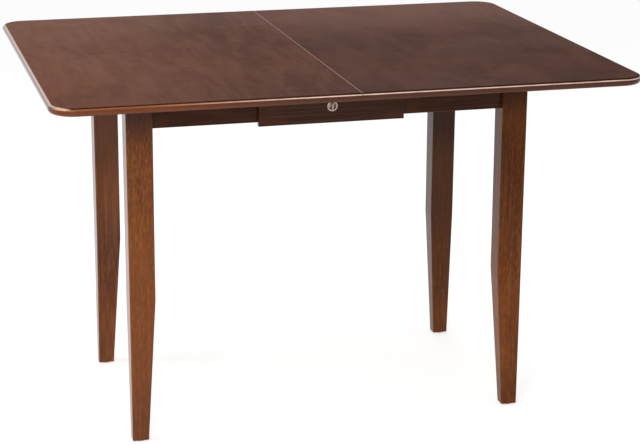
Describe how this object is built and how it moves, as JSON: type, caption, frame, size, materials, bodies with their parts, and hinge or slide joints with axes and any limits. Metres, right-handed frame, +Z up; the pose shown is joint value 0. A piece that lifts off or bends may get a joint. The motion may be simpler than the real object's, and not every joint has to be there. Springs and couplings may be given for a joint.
{
  "type": "butterfly leaf table",
  "caption": "Rectangular dining table with tapered legs, whose top slides apart on geared runners over a folded butterfly leaf stored in the frame.",
  "frame": {"origin": "on the floor under the middle of the table", "axes": "+X along the length of the table, in which it extends; +Y from the front, where the thumb-turn is, to the rear; +Z up"},
  "size_m": [1.18, 0.91, 0.76],
  "materials": {
    "top_veneer": "gloss lacquer over red-brown stained hardwood",
    "lacquered_wood": "gloss lacquer over red-brown stained hardwood",
    "plain_wood": "sealed, unstained hardwood",
    "nylon": "moulded, matt",
    "zinc_steel": "zinc plated",
    "brass": "satin",
    "nickel": "polished nickel plating",
    "felt": "felt"
  },
  "bodies": {
    "frame": {"bolt_nuts": "zinc_steel", "bolt_washers": "zinc_steel", "clamp_bezel": "nickel", "clamp_sleeve": "brass", "corner_blocks": "plain_wood", "cover_screws": "zinc_steel", "foot_glides": "nylon", "front_apron": "lacquered_wood", "front_cover": "lacquered_wood", "front_gear_board": "plain_wood", "front_left_leg": "lacquered_wood", "front_right_leg": "lacquered_wood", "gear_board_screws": "zinc_steel", "hanger_bolts": "zinc_steel", "leaf_bumpers": "felt", "leaf_hinge_links": "brass", "leaf_hinge_pins": "brass", "leaf_hinge_plates": "brass", "leaf_lower_panel": "top_veneer", "leaf_pins": "plain_wood", "leaf_rest_pads": "felt", "leaf_upper_panel": "top_veneer", "left_cross_rail": "plain_wood", "left_end_rail": "plain_wood", "pinion_spindles": "zinc_steel", "rear_apron": "lacquered_wood", "rear_cover": "lacquered_wood", "rear_gear_board": "plain_wood", "rear_left_leg": "lacquered_wood", "rear_right_leg": "lacquered_wood", "right_cross_rail": "plain_wood", "right_end_rail": "plain_wood", "spindle_clips": "zinc_steel", "spindle_screws": "zinc_steel"},
    "left_top": {"left_batten": "plain_wood", "left_front_rack": "nylon", "left_front_runner": "plain_wood", "left_rack_screws": "zinc_steel", "left_rear_rack": "nylon", "left_rear_runner": "plain_wood", "left_runner_screws": "zinc_steel", "left_short_screws": "zinc_steel", "left_top_panel": "top_veneer", "left_travel_stops": "plain_wood", "seam_pins": "plain_wood"},
    "right_top": {"right_batten": "plain_wood", "right_front_rack": "nylon", "right_front_runner": "plain_wood", "right_rack_screws": "zinc_steel", "right_rear_rack": "nylon", "right_rear_runner": "plain_wood", "right_runner_screws": "zinc_steel", "right_short_screws": "zinc_steel", "right_top_panel": "top_veneer", "right_travel_stops": "plain_wood"},
    "front_gear": {"front_pinion": "nylon"},
    "rear_gear": {"rear_pinion": "nylon"},
    "clamp": {"thumb_knob": "nickel", "clamp_screw": "zinc_steel", "pressure_pad": "nylon"}
  },
  "joints": [
    {"name": "left_top_slide", "type": "slide", "parent": "frame", "child": "left_top", "axis": [-1, 0, 0], "range_m": [0, 0.15]},
    {"name": "right_top_slide", "type": "slide", "parent": "frame", "child": "right_top", "axis": [1, 0, 0], "range_m": [0, 0.15]},
    {"name": "front_gear_turn", "type": "hinge", "parent": "frame", "child": "front_gear", "pos_m": [0, -0.086, 0.683], "axis": [0, 0, 1], "range_deg": [-345, 0]},
    {"name": "rear_gear_turn", "type": "hinge", "parent": "frame", "child": "rear_gear", "pos_m": [0, 0.086, 0.683], "axis": [0, 0, 1], "range_deg": [-345, 0]},
    {"name": "clamp_turn", "type": "hinge", "parent": "frame", "child": "clamp", "pos_m": [0, -0.24, 0.6875], "axis": [0, -1, 0], "range_deg": [-90, 0]}
  ],
  "couplings": [
    {"joint": "right_top_slide", "follows": "left_top_slide", "ratio": 1},
    {"joint": "front_gear_turn", "follows": "left_top_slide", "rad_per_m": -40},
    {"joint": "rear_gear_turn", "follows": "left_top_slide", "rad_per_m": -40}
  ]
}
